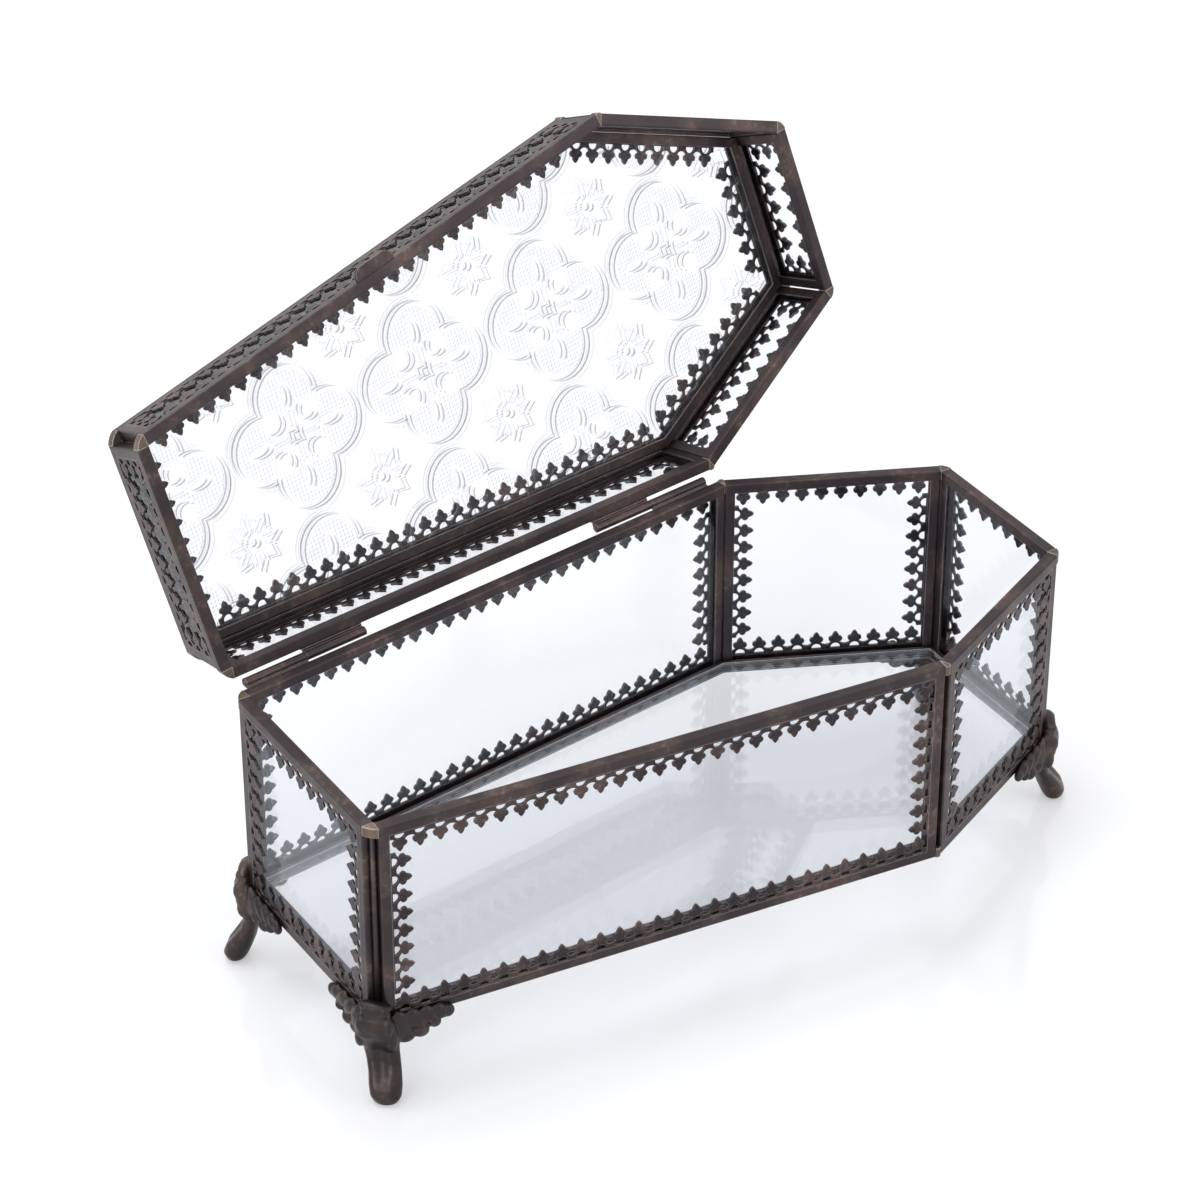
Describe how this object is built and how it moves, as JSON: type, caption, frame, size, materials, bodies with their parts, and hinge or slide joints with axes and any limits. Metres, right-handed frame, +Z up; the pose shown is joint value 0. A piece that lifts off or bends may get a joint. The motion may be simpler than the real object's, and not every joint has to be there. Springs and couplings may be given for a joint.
{
  "type": "hinged glass trinket box",
  "caption": "Coffin-shaped glass trinket box with clear wall panes in dark metal channel frames, pierced edging, cast feet and a hinged lid with a patterned pane.",
  "frame": {"origin": "middle of the overall size in plan, on the surface the feet stand on", "axes": "+X along the box towards its head end, +Y towards the hinged side, +Z up"},
  "size_m": [0.28, 0.1892, 0.2168],
  "materials": {
    "frame_metal": "dark antique bronze patina, worn on the edges",
    "pierced_strip": "dark antique bronze patina, stamped",
    "hinge_metal": "dark antique bronze patina, rubbed",
    "cast_metal": "dark antique bronze patina on a casting",
    "solder": "darkened solder, part bright",
    "clear_glass": "clear polished pane",
    "patterned_glass": "pressed pattern of four-lobed figures and star flowers"
  },
  "bodies": {
    "base": {"back_long_frame": "frame_metal", "back_long_glass": "clear_glass", "back_long_lace": "pierced_strip", "back_taper_frame": "frame_metal", "back_taper_glass": "clear_glass", "back_taper_lace": "pierced_strip", "base_corner_solder": "solder", "floor_frame": "frame_metal", "floor_glass": "clear_glass", "front_long_frame": "frame_metal", "front_long_glass": "clear_glass", "front_long_lace": "pierced_strip", "front_taper_frame": "frame_metal", "front_taper_glass": "clear_glass", "front_taper_lace": "pierced_strip", "head_back_foot": "cast_metal", "head_end_frame": "frame_metal", "head_end_glass": "clear_glass", "head_end_lace": "pierced_strip", "head_front_foot": "cast_metal", "narrow_back_foot": "cast_metal", "narrow_end_frame": "frame_metal", "narrow_end_glass": "clear_glass", "narrow_end_lace": "pierced_strip", "narrow_front_foot": "cast_metal", "narrow_hinge_base_leaf": "hinge_metal", "narrow_hinge_pin": "hinge_metal", "shoulder_hinge_base_leaf": "hinge_metal", "shoulder_hinge_pin": "hinge_metal"},
    "lid": {"lid_back_long_frame": "frame_metal", "lid_back_long_glass": "clear_glass", "lid_back_long_lace": "pierced_strip", "lid_back_taper_frame": "frame_metal", "lid_back_taper_glass": "clear_glass", "lid_back_taper_lace": "pierced_strip", "lid_corner_solder": "solder", "lid_front_long_frame": "frame_metal", "lid_front_long_glass": "clear_glass", "lid_front_long_lace": "pierced_strip", "lid_front_taper_frame": "frame_metal", "lid_front_taper_glass": "clear_glass", "lid_front_taper_lace": "pierced_strip", "lid_head_end_frame": "frame_metal", "lid_head_end_glass": "clear_glass", "lid_head_end_lace": "pierced_strip", "lid_narrow_end_frame": "frame_metal", "lid_narrow_end_glass": "clear_glass", "lid_narrow_end_lace": "pierced_strip", "lid_top_frame": "frame_metal", "lid_top_glass": "patterned_glass", "lid_top_lace": "pierced_strip", "lift_tab": "frame_metal", "narrow_hinge_lid_leaf": "hinge_metal", "shoulder_hinge_lid_leaf": "hinge_metal"}
  },
  "joints": [
    {"name": "lid_hinge", "type": "hinge", "parent": "base", "child": "lid", "pos_m": [-0.03167, 0.022, 0.0978], "axis": [0.9935, 0.1138, 0], "range_deg": [0, 109.5]}
  ]
}
